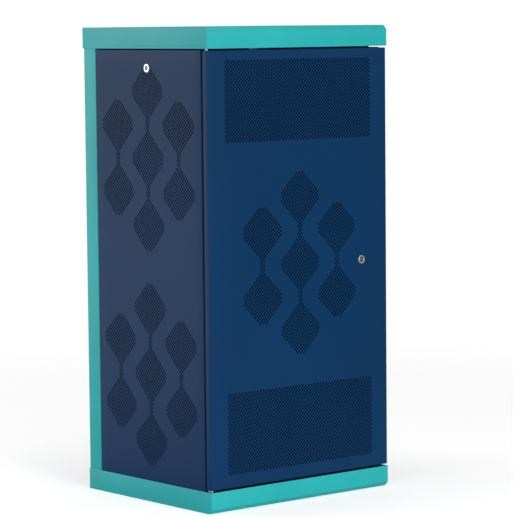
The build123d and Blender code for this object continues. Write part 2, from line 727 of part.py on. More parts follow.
def breaker_outline():
    """Left, right, low and high side of the breaker."""
    z = control_level() + CONTROL_HEIGHT / 2
    return (BREAKER_X - BREAKER_WIDTH / 2, BREAKER_X + BREAKER_WIDTH / 2,
            z - BREAKER_HEIGHT / 2, z + BREAKER_HEIGHT / 2)


def main_breaker():
    """Moulded breaker body with a stepped nose and a cavity for the toggle."""
    x0, x1, z0, z1 = breaker_outline()
    nose = COVER_FRONT - BREAKER_PROUD
    middle = (z0 + z1) / 2
    step = COVER_FRONT - BREAKER_STEP
    shape = block(x0, x1, step, FACE_FRONT, z0, z1)
    shape += block(x0, x1, nose, step, middle - BREAKER_NOSE / 2, middle + BREAKER_NOSE / 2)
    pivot = nose + TOGGLE_DEPTH
    reach = TOGGLE_WIDTH / 2 + SLIP
    shape -= rod_x(pivot, middle, BREAKER_X - reach, BREAKER_X + reach, TOGGLE_RADIUS + 2 * SLIP)
    return shape - block(BREAKER_X - reach, BREAKER_X + reach, nose - 1, pivot,
                         middle - TOGGLE_SLOT / 2, middle + TOGGLE_SLOT / 2)


def breaker_toggle():
    """Toggle: round hub and a lever, resting in its lower position."""
    x0, x1, z0, z1 = breaker_outline()
    pivot = COVER_FRONT - BREAKER_PROUD + TOGGLE_DEPTH
    hub = Rot(0, 90, 0) * Cylinder(TOGGLE_RADIUS, TOGGLE_WIDTH)
    lever = block(-TOGGLE_WIDTH / 2, TOGGLE_WIDTH / 2, -TOGGLE_LENGTH, 0, -TOGGLE_THICKNESS / 2,
                  TOGGLE_THICKNESS / 2)
    lever = fillet(lever.faces().sort_by(Axis.Y)[0].edges(), 2)
    return Pos(BREAKER_X, pivot, (z0 + z1) / 2) * Rot(TOGGLE_ANGLE, 0, 0) * (hub + lever)


# ---------------------------------------------------------------- locks
def lock_housing(barrel_length, sheet):
    """Bezel, barrel and fixing nut. Local Z points out of the sheet, 0 is its outer face."""
    bezel = rod_z(0, 0, 0, BEZEL_PROUD, BEZEL_RADIUS)
    bezel = chamfer(bezel.faces().sort_by(Axis.Z)[-1].edges(), 0.7)
    barrel = rod_z(0, 0, -barrel_length, 0, BARREL_RADIUS)
    nut = extrude(Pos(0, 0, -sheet - NUT_THICKNESS) * RegularPolygon(NUT_RADIUS, 6),
                  amount=NUT_THICKNESS)
    return bezel + barrel + nut - rod_z(0, 0, -HEIGHT, HEIGHT, PLUG_RADIUS + RUNNING)


def lock_plug(length):
    """Turning plug with a ring-shaped key recess round a pin."""
    shape = rod_z(0, 0, -length, BEZEL_PROUD - PLUG_SUNK, PLUG_RADIUS)
    recess = rod_z(0, 0, -KEY_DEPTH, BEZEL_PROUD, KEY_RECESS)
    return shape - (recess - rod_z(0, 0, -KEY_DEPTH, BEZEL_PROUD, KEY_PIN))


def lock_cam(length, reach):
    """Cam on the plug's inner end, pointing along local +X."""
    end = reach - CAM_WIDTH / 2
    z0, z1 = -length - CAM_THICKNESS, -length
    shape = block(0, end, -CAM_WIDTH / 2, CAM_WIDTH / 2, z0, z1)
    return shape + rod_z(0, 0, z0, z1, CAM_WIDTH / 2) + rod_z(end, 0, z0, z1, CAM_WIDTH / 2)


def door_lock_place():
    """Frame of the door lock: local Z out of the door, local Y up."""
    return Plane(origin=(DOOR_LOCK_X, DOOR_FRONT, DOOR_LOCK_Z), x_dir=(1, 0, 0), z_dir=(0, -1, 0))


def side_lock_place():
    """Frame of the left panel's lock: local Z out of the panel, local X to the front."""
    return Plane(origin=(-BODY_HALF, SIDE_LOCK_Y, SIDE_LOCK_Z), x_dir=(0, -1, 0), z_dir=(-1, 0, 0))


def lock_hole(place):
    """Round hole for a lock barrel."""
    return place * rod_z(0, 0, -PANEL_THICKNESS, BEZEL_PROUD, BARREL_RADIUS + SLIP)


# ---------------------------------------------------------------- front door
def door_skin():
    """Folded door tray: front sheet, four returns, lips along the back."""
    outer = block(-BODY_HALF, BODY_HALF, DOOR_FRONT, DOOR_BACK, DOOR_LOW, DOOR_TOP)
    outer = fillet(outer.edges().group_by(Axis.Y)[0], DOOR_FOLD)
    sheet = DOOR_SHEET
    x = BODY_HALF - sheet
    shape = outer - block(-x, x, DOOR_FRONT + sheet, DOOR_BACK - sheet, DOOR_LOW + sheet,
                          DOOR_TOP - sheet)
    x -= DOOR_LIP
    shape -= block(-x, x, DOOR_BACK - 2 * sheet, DOOR_BACK + 1, DOOR_LOW + sheet + DOOR_LIP,
                   DOOR_TOP - sheet - DOOR_LIP)
    shape -= rod_z(HINGE_X, HINGE_Y, 0, HEIGHT, PIN_RADIUS + RUNNING)
    return shape - lock_hole(door_lock_place())


def hinge_block(low):
    """Block welded inside the door, bored for a hinge pin."""
    x0 = -BODY_HALF + DOOR_SHEET
    shape = block(x0, x0 + HINGE_BLOCK_WIDTH, DOOR_FRONT + DOOR_SHEET, DOOR_BACK - DOOR_SHEET, low,
                  low + HINGE_BLOCK)
    return shape - rod_z(HINGE_X, HINGE_Y, 0, HEIGHT, PIN_RADIUS + RUNNING)


def door_stiffeners():
    """Two upright channels behind the sheet and the two bored hinge blocks."""
    sheet = PANEL_SHEET
    y0 = DOOR_FRONT + DOOR_SHEET
    low = DOOR_LOW + STIFFENER_END_GAP
    high = DOOR_TOP - STIFFENER_END_GAP
    channel = block(STIFFENER_X, STIFFENER_X + STIFFENER_WIDTH, y0, y0 + STIFFENER_DEPTH, low, high)
    channel -= block(STIFFENER_X + sheet, STIFFENER_X + STIFFENER_WIDTH - sheet, y0 - 1,
                     y0 + STIFFENER_DEPTH - sheet, 0, HEIGHT)
    blocks = [hinge_block(DOOR_LOW + DOOR_SHEET), hinge_block(DOOR_TOP - DOOR_SHEET - HINGE_BLOCK)]
    return group([channel, mirrored(channel)] + blocks)


def hinge_pin_lower():
    """Collared pin on the deck that carries the door."""
    collar_top = DOOR_LOW - SLIP
    collar = rod_z(HINGE_X, HINGE_Y, DECK_TOP, collar_top, PIN_COLLAR)
    return collar + rod_z(HINGE_X, HINGE_Y, collar_top, DOOR_LOW + PIN_INSERTION, PIN_RADIUS)


def hinge_pin_upper():
    """Sliding pin with a finger lever; it drops out of the cap to free the door."""
    top = CAP_BOTTOM + FRAME_SHEET + 1
    low = DOOR_TOP - LATCH_DROP
    half = LATCH_BAR / 2
    bar_top = low + 6
    pin = rod_z(HINGE_X, HINGE_Y, low, top, PIN_RADIUS)
    pin = chamfer(pin.faces().sort_by(Axis.Z)[-1].edges(), 1)
    reach = HINGE_X + LATCH_LEVER
    lever = block(HINGE_X, reach, HINGE_Y - half, HINGE_Y + half, low, bar_top)
    finger = block(reach - LATCH_BAR, reach, HINGE_Y - half, DOOR_BACK + 4, low, bar_top)
    return pin + lever + finger


def door_catch():
    """Angle on the right front post; the lock's cam turns in behind its lip."""
    half = DOOR_CATCH_HEIGHT / 2
    lip_front = DOOR_BACK + DOOR_CATCH_GAP
    web_x = DOOR_LOCK_X + DOOR_CAM_REACH + 2 * CAM_GAP
    lip_x = DOOR_LOCK_X + DOOR_CAM_REACH - DOOR_CATCH_LIP
    low, high = DOOR_LOCK_Z - half, DOOR_LOCK_Z + half
    lip = block(lip_x, web_x + FRAME_SHEET, lip_front, lip_front + FRAME_SHEET, low, high)
    web = block(web_x, web_x + FRAME_SHEET, lip_front, POST_FRONT - FRAME_SHEET, low, high)
    foot = block(web_x, web_x + DOOR_CATCH_FOOT, POST_FRONT - FRAME_SHEET, POST_FRONT, low, high)
    return lip + web + foot


# ---------------------------------------------------------------- side panels
def side_panel_left():
    """Folded tray with two tabs that stand in the deck's slots."""
    x0 = -BODY_HALF
    x1 = x0 + PANEL_THICKNESS
    sheet = PANEL_SHEET
    shape = block(x0, x1, PANEL_FRONT, PANEL_REAR, PANEL_LOW, PANEL_TOP)
    shape -= block(x0 + sheet, x1 + 1, PANEL_FRONT + sheet, PANEL_REAR - sheet, PANEL_LOW + sheet,
                   PANEL_TOP - sheet)
    for y in TAB_OFFSETS:
        shape += tab(y, 0)
    return shape - lock_hole(side_lock_place())


# ---------------------------------------------------------------- levelling feet
def levelling_foot(side_x, side_y):
    """Threaded shank and pad, wound in so that the plinth carries the cabinet."""
    x, y = side_x * FOOT_X, side_y * FOOT_Y
    pad = rod_z(x, y, FOOT_LIFT, FOOT_LIFT + FOOT_PAD, FOOT_RADIUS)
    pad = chamfer(pad.edges().group_by(Axis.Z)[-1], 2)
    return pad + rod_z(x, y, FOOT_LIFT + FOOT_PAD, DECK_BOTTOM - FOOT_TOP_GAP, FOOT_SHANK)


# ---------------------------------------------------------------- all nodes
def build():
    """Every node of the cabinet by name."""
    post = front_post()
    strip = rear_post()
    door_lock = door_lock_place()
    side_lock = side_lock_place()
    side_housing = side_lock * lock_housing(SIDE_PLUG_LENGTH - BARREL_SHORTER, PANEL_SHEET)
    side_plug = side_lock * lock_plug(SIDE_PLUG_LENGTH)
    side_cam = side_lock * lock_cam(SIDE_PLUG_LENGTH, SIDE_CAM_REACH)
    panel = side_panel_left()
    nodes = {
        "base_plinth": base_plinth(),
        "base_deck": base_deck(),
        "deck_grommets": deck_grommets(),
        "top_cap": top_cap(),
        "roof_frame": roof_frame(),
        "front_post_left": mirrored(post),
        "front_post_right": post,
        "rear_post_left": mirrored(strip),
        "rear_post_right": strip,
        "side_braces": side_braces(),
        "rack_rails_front": rack_rails(RACK_PLANE),
        "rack_rails_rear": rack_rails(REAR_RAIL_PLANE),
        "module_runners": module_runners(),
        "rear_panel": rear_panel(),
        "rear_panel_screws": rear_panel_screws(),
        "earth_stud": earth_stud(),
        "hinge_pin_lower": hinge_pin_lower(),
        "door_catch": door_catch(),
        "battery_cells": battery_cells(),
        "battery_handles": battery_handles(),
        "positive_terminals": terminals(POSITIVE_X),
        "negative_terminals": terminals(NEGATIVE_X),
        "link_cables_positive": link_cables(POSITIVE_X),
        "link_cables_negative": link_cables(NEGATIVE_X),
        "rack_screws": rack_screws(),
        "control_case": control_case(),
        "control_front": control_front(),
        "main_breaker": main_breaker(),
        "breaker_toggle": breaker_toggle(),
        "door_skin": door_skin(),
        "door_stiffeners": door_stiffeners(),
        "hinge_pin_upper": hinge_pin_upper(),
        "door_lock_housing": door_lock * lock_housing(DOOR_PLUG_LENGTH - BARREL_SHORTER, DOOR_SHEET),
        "door_lock_plug": door_lock * lock_plug(DOOR_PLUG_LENGTH),
        "door_lock_cam": door_lock * Rot(0, 0, -90) * lock_cam(DOOR_PLUG_LENGTH, DOOR_CAM_REACH),
        "side_panel_left": panel,
        "side_panel_right": mirrored(panel),
        "side_lock_housing_left": side_housing,
        "side_lock_housing_right": mirrored(side_housing),
        "side_lock_plug_left": side_plug,
        "side_lock_plug_right": mirrored(side_plug),
        "side_lock_cam_left": side_cam,
        "side_lock_cam_right": mirrored(side_cam),
        "levelling_foot_front_left": levelling_foot(-1, -1),
        "levelling_foot_front_right": levelling_foot(1, -1),
        "levelling_foot_rear_left": levelling_foot(-1, 1),
        "levelling_foot_rear_right": levelling_foot(1, 1),
    }
    for index in range(MODULE_COUNT):
        nodes[f"battery_case_{index + 1}"] = battery_case(index)
        nodes[f"battery_front_{index + 1}"] = battery_front(index)
        nodes[f"battery_switch_{index + 1}"] = battery_switch(index)
    return nodes


os.makedirs("parts", exist_ok=True)
for name, shape in build().items():
    export_step(shape, f"parts/{name}.step")
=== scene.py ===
import json
from math import cos, radians, sin
import bmesh
import bpy
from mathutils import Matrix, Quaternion, Vector

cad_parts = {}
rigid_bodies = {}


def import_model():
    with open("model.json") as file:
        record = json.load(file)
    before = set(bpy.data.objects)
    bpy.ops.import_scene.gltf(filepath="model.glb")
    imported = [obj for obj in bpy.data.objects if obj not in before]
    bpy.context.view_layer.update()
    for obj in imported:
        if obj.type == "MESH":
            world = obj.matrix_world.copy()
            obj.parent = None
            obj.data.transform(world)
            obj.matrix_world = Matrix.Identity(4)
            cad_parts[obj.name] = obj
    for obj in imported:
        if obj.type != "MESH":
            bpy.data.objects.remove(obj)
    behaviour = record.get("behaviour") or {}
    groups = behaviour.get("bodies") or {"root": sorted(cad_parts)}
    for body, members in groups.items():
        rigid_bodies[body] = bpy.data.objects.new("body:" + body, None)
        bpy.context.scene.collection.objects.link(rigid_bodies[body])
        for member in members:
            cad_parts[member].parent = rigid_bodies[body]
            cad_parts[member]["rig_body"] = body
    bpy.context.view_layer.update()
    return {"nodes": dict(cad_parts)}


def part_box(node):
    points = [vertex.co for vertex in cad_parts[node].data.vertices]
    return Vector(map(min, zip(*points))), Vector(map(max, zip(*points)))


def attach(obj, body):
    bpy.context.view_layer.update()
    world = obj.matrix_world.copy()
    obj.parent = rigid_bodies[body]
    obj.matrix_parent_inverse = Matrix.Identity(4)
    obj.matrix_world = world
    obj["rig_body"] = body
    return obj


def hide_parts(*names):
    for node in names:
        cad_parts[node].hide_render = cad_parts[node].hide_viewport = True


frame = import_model()
nodes = frame["nodes"]


# ------------------------------------------------------------------ base plinth
# Folded sheet-steel frame that stands on the floor, powder-coated turquoise.
# Its front edge is broken at 45 degrees; the folds are slightly round.

def edit_mesh(piece):
    """Opens one piece in edit mode and returns its editable mesh."""
    bpy.ops.object.select_all(action="DESELECT")
    piece.select_set(True)
    bpy.context.view_layer.objects.active = piece
    bpy.ops.object.mode_set(mode="EDIT")
    return bmesh.from_edit_mesh(piece.data)


def apply_modifier(piece, kind, **settings):
    """Adds one modifier, sets it and applies it."""
    bpy.ops.object.select_all(action="DESELECT")
    piece.select_set(True)
    bpy.context.view_layer.objects.active = piece
    modifier = piece.modifiers.new(kind.title(), kind)
    for setting, value in settings.items():
        setattr(modifier, setting, value)
    bpy.ops.object.modifier_apply(modifier=modifier.name)


def soften(piece, width, segments=2, angle=35):
    """Rounds the sharp edges and shades the result smooth."""
    apply_modifier(piece, "BEVEL", width=width, segments=segments, limit_method="ANGLE",
                   angle_limit=radians(angle), harden_normals=False)
    bpy.ops.object.shade_smooth_by_angle(angle=radians(40))


def finished(piece, material, body):
    """Gives a piece its finish and puts it on its body."""
    piece.data.materials.clear()
    piece.data.materials.append(material)
    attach(piece, body)
    return piece


def rounded_copy(node, material, width, segments=2):
    """A made-up CAD node with its edges rounded as folding and moulding leave them."""
    piece = bpy.data.objects.new(node + "_made", nodes[node].data.copy())
    bpy.context.scene.collection.objects.link(piece)
    edit_mesh(piece)
    bpy.ops.mesh.select_all(action="SELECT")
    bpy.ops.mesh.remove_doubles(threshold=0.00001)
    bpy.ops.mesh.customdata_custom_splitnormals_clear()
    bpy.ops.mesh.dissolve_limited(angle_limit=radians(0.5))
    bpy.ops.object.mode_set(mode="OBJECT")
    soften(piece, width, segments)
    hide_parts(node)
    return finished(piece, material, nodes[node]["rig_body"])


def new_material(name):
    """Empty node material with its shader and object coordinates."""
    material = bpy.data.materials.new(name)
    material.use_nodes = True
    tree = material.node_tree
    shader = next(node for node in tree.nodes if node.type == "BSDF_PRINCIPLED")
    place = tree.nodes.new("ShaderNodeTexCoord")
    return material, tree, shader, place.outputs["Object"]


def noise(tree, place, scale, detail=2.0, roughness=0.5):
    """Noise field at a number of features per metre."""
    field = tree.nodes.new("ShaderNodeTexNoise")
    field.inputs["Scale"].default_value = scale
    field.inputs["Detail"].default_value = detail
    field.inputs["Roughness"].default_value = roughness
    tree.links.new(place, field.inputs["Vector"])
    return field.outputs["Fac"]


def spread(tree, value, low, high, band=(0.3, 0.7)):
    """Maps a field from its middle band to a range of values."""
    ramp = tree.nodes.new("ShaderNodeMapRange")
    ramp.inputs["From Min"].default_value = band[0]
    ramp.inputs["From Max"].default_value = band[1]
    ramp.inputs["To Min"].default_value = low
    ramp.inputs["To Max"].default_value = high
    tree.links.new(value, ramp.inputs["Value"])
    return ramp.outputs["Result"]


def two_tone(tree, factor, first, second):
    """Blends two colours by a field."""
    mix = tree.nodes.new("ShaderNodeMix")
    mix.data_type = "RGBA"
    mix.inputs["A"].default_value = (*first, 1)
    mix.inputs["B"].default_value = (*second, 1)
    tree.links.new(factor, mix.inputs["Factor"])
    return mix.outputs["Result"]


def relief(tree, shader, field, distance, strength=1.0):
    """Surface relief of a depth in metres."""
    bump = tree.nodes.new("ShaderNodeBump")
    bump.inputs["Distance"].default_value = distance
    bump.inputs["Strength"].default_value = strength
    tree.links.new(field, bump.inputs["Height"])
    tree.links.new(bump.outputs["Normal"], shader.inputs["Normal"])


def powder_coat(name, colour, gloss, specular):
    """Baked powder coat: faint cloudiness, orange peel about a millimetre across."""
    material, tree, shader, place = new_material(name)
    cloud = noise(tree, place, 5.0, 4.0)
    shade = [channel * 0.93 for channel in colour]
    light = [channel * 1.06 for channel in colour]
    tree.links.new(two_tone(tree, spread(tree, cloud, 0, 1), shade, light),
                   shader.inputs["Base Color"])
    peel = noise(tree, place, 700.0, 2.0, 0.6)
    tree.links.new(spread(tree, peel, gloss - 0.05, gloss + 0.05), shader.inputs["Roughness"])
    shader.inputs["Specular IOR Level"].default_value = specular
    relief(tree, shader, peel, 0.00006)
    return material


TURQUOISE = (0.018, 0.44, 0.45)
turquoise_paint = powder_coat("turquoise_paint", TURQUOISE, 0.42, 0.26)
rounded_copy("base_plinth", turquoise_paint, 0.0009, 3)

# ------------------------------------------------------------------ deck and feet
# The deck is a black sheet with rubber-edged cable entries. The feet are plated
# steel, screwed up inside the plinth, and the earth stud is welded to the deck.

def plated_steel(name, colour, gloss):
    """Zinc plate: cloudy spangle and fine brushed streaks."""
    material, tree, shader, place = new_material(name)
    spangle = noise(tree, place, 60.0, 3.0, 0.6)
    dark = [channel * 0.8 for channel in colour]
    tree.links.new(two_tone(tree, spread(tree, spangle, 0, 1), dark, colour),
                   shader.inputs["Base Color"])
    shader.inputs["Metallic"].default_value = 1.0
    tree.links.new(spread(tree, spangle, gloss - 0.08, gloss + 0.1), shader.inputs["Roughness"])
    relief(tree, shader, noise(tree, place, 900.0, 2.0), 0.00002)
    return material


def moulded_plastic(name, colour, gloss, grain=0.00004, grains=1200.0):
    """Moulded plastic with a fine spark-eroded grain."""
    material, tree, shader, place = new_material(name)
    flow = noise(tree, place, 12.0, 3.0)
    shade = [channel * 0.88 for channel in colour]
    tree.links.new(two_tone(tree, spread(tree, flow, 0, 1), shade, colour),
                   shader.inputs["Base Color"])
    texture = noise(tree, place, grains, 1.0)
    tree.links.new(spread(tree, texture, gloss - 0.06, gloss + 0.06), shader.inputs["Roughness"])
    shader.inputs["Specular IOR Level"].default_value = 0.4
    relief(tree, shader, texture, grain)
    return material


black_paint = powder_coat("black_paint", (0.012, 0.013, 0.015), 0.5, 0.3)
zinc = plated_steel("zinc_plate", (0.43, 0.44, 0.46), 0.36)
rubber = moulded_plastic("black_rubber", (0.012, 0.012, 0.012), 0.75, 0.00008, 600.0)
rounded_copy("base_deck", black_paint, 0.0003, 1)
rounded_copy("deck_grommets", rubber, 0.0008)
rounded_copy("earth_stud", zinc, 0.0004)
for corner in ("front_left", "front_right", "rear_left", "rear_right"):
    rounded_copy("levelling_foot_" + corner, zinc, 0.0006)

# ------------------------------------------------------------------ frame
# Folded posts on the deck carry a channel ring under the cap. The rear posts
# show beside the side panels and are turquoise; the rest is black or plated.

for side in ("left", "right"):
    rounded_copy("rear_post_" + side, turquoise_paint, 0.0008)
    rounded_copy("front_post_" + side, black_paint, 0.0006)
rounded_copy("roof_frame", black_paint, 0.0006)
rounded_copy("door_catch", zinc, 0.0004)
rounded_copy("hinge_pin_lower", zinc, 0.0004)
for node in ("side_braces", "rack_rails_front", "rack_rails_rear", "module_runners"):
    rounded_copy(node, zinc, 0.0003, 1)

# ------------------------------------------------------------------ battery modules
# Four rack modules: painted steel case, moulded dark front with a raised cover,
# round-bar handles, sockets for the link cables and a rocker switch each.

case_paint = powder_coat("case_paint", (0.05, 0.053, 0.058), 0.5, 0.35)
front_plastic = moulded_plastic("front_plastic", (0.022, 0.024, 0.027), 0.5)
orange_plastic = moulded_plastic("orange_plastic", (0.78, 0.15, 0.012), 0.4)
black_plastic = moulded_plastic("black_plastic", (0.012, 0.012, 0.013), 0.38)
wrap_film = moulded_plastic("wrap_film", (0.02, 0.06, 0.2), 0.3)
red_jacket = moulded_plastic("red_jacket", (0.42, 0.02, 0.012), 0.5, 0.00005, 800.0)
black_jacket = moulded_plastic("black_jacket", (0.01, 0.01, 0.01), 0.5, 0.00005, 800.0)
MODULES = sum(node.startswith("battery_case_") for node in nodes)
for module in range(1, MODULES + 1):
    rounded_copy(f"battery_case_{module}", case_paint, 0.0008)
    rounded_copy(f"battery_front_{module}", front_plastic, 0.0005)
    rounded_copy(f"battery_switch_{module}", black_plastic, 0.0006)
rounded_copy("battery_cells", wrap_film, 0.002)
rounded_copy("battery_handles", zinc, 0.0002, 1)
rounded_copy("positive_terminals", orange_plastic, 0.0012)
rounded_copy("negative_terminals", black_plastic, 0.0012)
rounded_copy("link_cables_positive", red_jacket, 0.0001, 1)
rounded_copy("link_cables_negative", black_jacket, 0.0001, 1)


def from_cube(name, low, high):
    """Block between two corners, to be shaped further."""
    bpy.ops.object.select_all(action="DESELECT")
    middle = [(a + b) / 2 for a, b in zip(low, high)]
    bpy.ops.mesh.primitive_cube_add(size=1, location=middle)
    piece = bpy.context.object
    piece.name = name
    piece.scale = [b - a for a, b in zip(low, high)]
    bpy.ops.object.transform_apply(location=True, rotation=True, scale=True)
    return piece


def slotted_grille(name, low, high, slots, material, body):
    """Moulded vent: a flat pad with a row of sunk upright slots."""
    bpy.ops.object.select_all(action="DESELECT")
    width, height = high[0] - low[0], high[2] - low[2]
    bpy.ops.mesh.primitive_grid_add(x_subdivisions=slots, y_subdivisions=1, size=1,
                                    location=(low[0] + width / 2, low[1], low[2] + height / 2),
                                    rotation=(radians(90), 0, 0))
    piece = bpy.context.object
    piece.name = name
    piece.scale = (width, height, 1)
    bpy.ops.object.transform_apply(location=True, rotation=True, scale=True)
    edit_mesh(piece)
    bpy.ops.mesh.select_all(action="SELECT")
    bpy.ops.mesh.inset(thickness=width / slots * 0.25, use_individual=True)
    bpy.ops.mesh.extrude_region_move(
        TRANSFORM_OT_translate={"value": (0, (high[1] - low[1]) * 0.9, 0)})
    mesh = bmesh.from_edit_mesh(piece.data)
    for edge in mesh.edges:
        edge.select_set(edge.is_boundary)
    bpy.ops.mesh.extrude_region_move(TRANSFORM_OT_translate={"value": (0, high[1] - low[1], 0)})
    bpy.ops.object.mode_set(mode="OBJECT")
    soften(piece, 0.0004, 2)
    return finished(piece, material, body)


lamp_green = moulded_plastic("lamp_green", (0.03, 0.5, 0.08), 0.2)
lamp_off = moulded_plastic("lamp_clear", (0.35, 0.36, 0.35), 0.2)
for module in range(1, MODULES + 1):
    face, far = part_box(f"battery_front_{module}")
    middle = (face.z + far.z) / 2
    proud = face.y - 0.0016
    slotted_grille(f"battery_vent_{module}", (-0.095, proud, middle - 0.055),
                   (0.085, face.y, middle + 0.055), 18, front_plastic, "cabinet")
    for lamp in range(6):
        z = middle + 0.05
        x = 0.112 + 0.011 * lamp
        bpy.ops.object.select_all(action="DESELECT")
        bpy.ops.mesh.primitive_cylinder_add(vertices=24, radius=0.0028, depth=0.003,
                                            location=(x, face.y - 0.0008, z),
                                            rotation=(radians(90), 0, 0))
        lens = bpy.context.object
        lens.name = f"battery_lamp_{module}_{lamp + 1}"
        bpy.ops.object.transform_apply(location=True, rotation=True, scale=True)
        soften(lens, 0.0007, 3)
        finished(lens, lamp_green if lamp < 4 else lamp_off, "cabinet")

# ------------------------------------------------------------------ control unit
# Steel case with a moulded front in the top units of the rack. The breaker
# snaps into its cut-out; a dark window covers the display.

rounded_copy("control_case", case_paint, 0.0008)
rounded_copy("control_front", front_plastic, 0.0005)
breaker_grey = moulded_plastic("breaker_grey", (0.52, 0.52, 0.5), 0.45)
toggle_blue = moulded_plastic("toggle_blue", (0.015, 0.04, 0.12), 0.3)
rounded_copy("main_breaker", breaker_grey, 0.001)
rounded_copy("breaker_toggle", toggle_blue, 0.0006)
face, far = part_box("control_front")
middle = (face.z + far.z) / 2
window = from_cube("control_window", (-0.07, face.y - 0.0025, middle - 0.022),
                   (0.04, face.y + 0.001, middle + 0.022))
mesh = edit_mesh(window)
for side_face in mesh.faces:
    side_face.select_set(side_face.normal.y < -0.9)
bpy.ops.mesh.inset(thickness=0.004)
bpy.ops.mesh.extrude_region_move(TRANSFORM_OT_translate={"value": (0, 0.0008, 0)})
bpy.ops.object.mode_set(mode="OBJECT")
soften(window, 0.0005, 3)
finished(window, moulded_plastic("dark_window", (0.004, 0.005, 0.006), 0.12), "cabinet")
rounded_copy("rack_screws", zinc, 0.0003, 1)

# ------------------------------------------------------------------ roof seals
# Black rubber strips glued along the roof frame's lower sides. They close the gap
# above the side panels, which lie just outside them.

ring_low, ring_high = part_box("roof_frame")
cap_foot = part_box("top_cap")[0].z
SEAL_THICKNESS = 0.0028
SEAL_HEIGHT = 0.008
for side, direction in (("left", -1), ("right", 1)):
    near, far = sorted((direction * ring_high.x, direction * (ring_high.x - SEAL_THICKNESS)))
    roof_seal = from_cube("roof_seal_" + side, (near, ring_low.y + 0.001, cap_foot - SEAL_HEIGHT),
                          (far, ring_high.y - 0.052, cap_foot))
    soften(roof_seal, 0.0012, 4)
    finished(roof_seal, rubber, "cabinet")

# ------------------------------------------------------------------ side panels
# Folded blue trays that stand in the deck on two tabs and lock under the cap.
# Each is punched with two groups of diamond chains, 5 mm rows of round holes.
# The sheet is made as bands that meet edge to edge, each with its own holes.

PITCH = 0.005               # half the pitch of the holes along a row
HOLE_RADIUS = 0.0027
PERIOD = 0.17               # from one diamond's middle to the next along a chain
CHAIN_SPACING = 0.125


def in_chain(along, across, middles):
    """True where a chain of diamonds has a hole; middles are its diamonds' centres."""
    for middle in middles:
        row = abs(round((along - middle) / PITCH))
        if row <= 12:
            count = 13 - row % 2 if row < 3 else 15 - row
        elif row <= 17 and min(middles) - 0.001 < along < max(middles) + 0.001:
            count = 2 - (row + 1) % 2
        else:
            continue
        if abs(across) < (count - 1) * PITCH + PITCH / 2:
            return True
    return False


def in_group(along, across, middle, count):
    """A middle chain of diamonds between two chains that are half a period lower."""
    reach = (count - 1) / 2 * PERIOD
    inner = [middle - reach + PERIOD * step for step in range(count)]
    outer = [level + PERIOD / 2 for level in inner[:-1]]
    return (in_chain(along, across, inner) or in_chain(along, across - CHAIN_SPACING, outer)
            or in_chain(along, across + CHAIN_SPACING, outer))


def punched_sheet(name, cells, centre, forward, edges, has_hole):
    """Upright sheet of square cells whose outer ring reaches the sheet's edges, punched.

    cells: number across and up; centre: of the punched field; forward: the sheet's
    distance in front of the middle; edges: left, right, low and high edge;
    has_hole(across, up) says where a hole goes.
    """
    bpy.ops.object.select_all(action="DESELECT")
    bpy.ops.mesh.primitive_grid_add(x_subdivisions=cells[0], y_subdivisions=cells[1], size=1)
    piece = bpy.context.object
    piece.name = name
    piece.scale = (cells[0] * PITCH, cells[1] * PITCH, 1)
    bpy.ops.object.transform_apply(location=False, rotation=False, scale=True)
    half_x, half_y = cells[0] * PITCH / 2, cells[1] * PITCH / 2
    left, right, low, high = edges
    moves = ((0, -1, half_x, left - centre[0] + half_x),
             (0, 1, half_x, right - centre[0] - half_x),
             (1, -1, half_y, low - centre[1] + half_y),
             (1, 1, half_y, high - centre[1] - half_y))
    mesh = edit_mesh(piece)
    bpy.ops.mesh.select_mode(type="VERT")
    for axis, sign, half, distance in moves:
        for vertex in mesh.verts:
            vertex.select_set(sign * vertex.co[axis] > half - PITCH / 4)
        shift = [0, 0, 0]
        shift[axis] = distance
        bpy.ops.transform.translate(value=shift)
        mesh = bmesh.from_edit_mesh(piece.data)
    bpy.ops.mesh.select_all(action="DESELECT")
    for vertex in mesh.verts:
        across, up = vertex.co.x + centre[0], vertex.co.y + centre[1]
        inside = abs(vertex.co.x) < half_x - PITCH / 4 and abs(vertex.co.y) < half_y - PITCH / 4
        vertex.select_set(inside and has_hole(across, up))
    mesh.select_flush_mode()
    bpy.ops.mesh.bevel(offset=HOLE_RADIUS, affect="VERTICES", segments=2, profile=0.0858)
    bpy.ops.mesh.delete(type="FACE")
    bpy.ops.object.mode_set(mode="OBJECT")
    piece.rotation_euler = (radians(90), 0, 0)
    piece.location = (centre[0], -forward, centre[1])
    bpy.ops.object.transform_apply(location=True, rotation=True, scale=True)
    return piece


def on_lattice(across, up, start):
    """Staggered rows: every other row is shifted by half the pitch along the row."""
    return (round(across / PITCH) + round((up - start) / PITCH)) % 2 == 0


